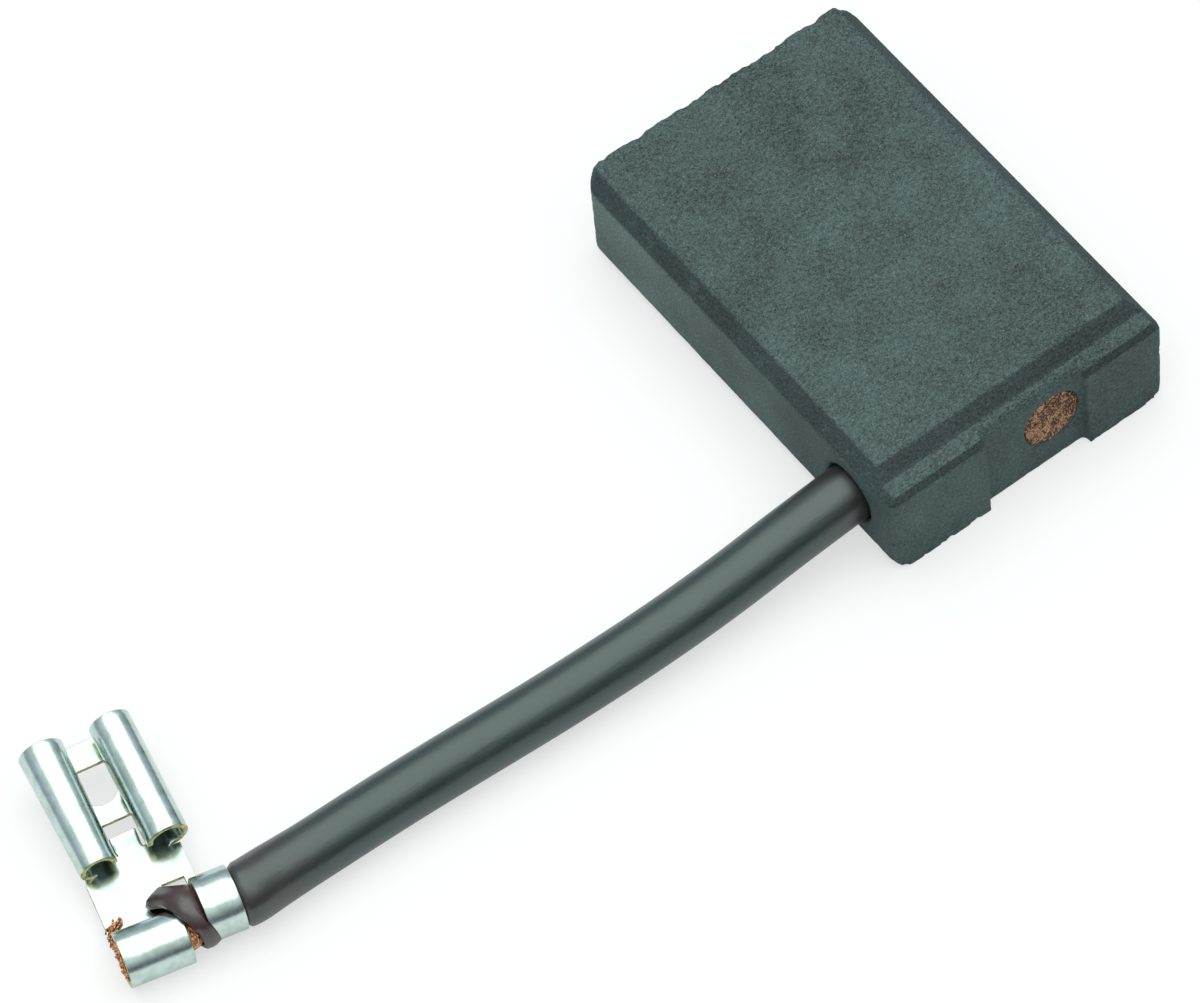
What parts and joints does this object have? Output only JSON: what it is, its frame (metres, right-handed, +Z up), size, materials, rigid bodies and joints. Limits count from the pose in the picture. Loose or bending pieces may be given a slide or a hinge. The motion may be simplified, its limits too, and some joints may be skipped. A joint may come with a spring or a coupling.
{
  "type": "carbon brush",
  "caption": "Rectangular carbon brush with a pressed step and spring channel at its lead end, a sleeved lead from its side and a crimped flag receptacle.",
  "frame": {"origin": "centre of the block's underside", "axes": "+X from the running face towards the lead end, +Y across the broad face away from the lead, +Z up through the thickness"},
  "size_m": [0.033, 0.0778, 0.008],
  "materials": {
    "carbon": "pressed and sintered carbon, matte with fine grain and dark pores, darker in the pressed chamfers",
    "copper_powder": "tamped copper powder, crumbly and dull with bright grains",
    "copper_strand": "bare fine stranded copper, slightly oxidised",
    "black_sleeve": "near-black satin insulating sleeve with a maroon-brown tint at its ends",
    "tinned_brass": "bright tin plate on brass, yellow at sheared edges"
  },
  "bodies": {
    "root": {"carbon_block": "carbon", "copper_tamping": "copper_powder", "strand": "copper_strand", "sleeve": "black_sleeve", "flag_terminal": "tinned_brass"}
  },
  "joints": []
}
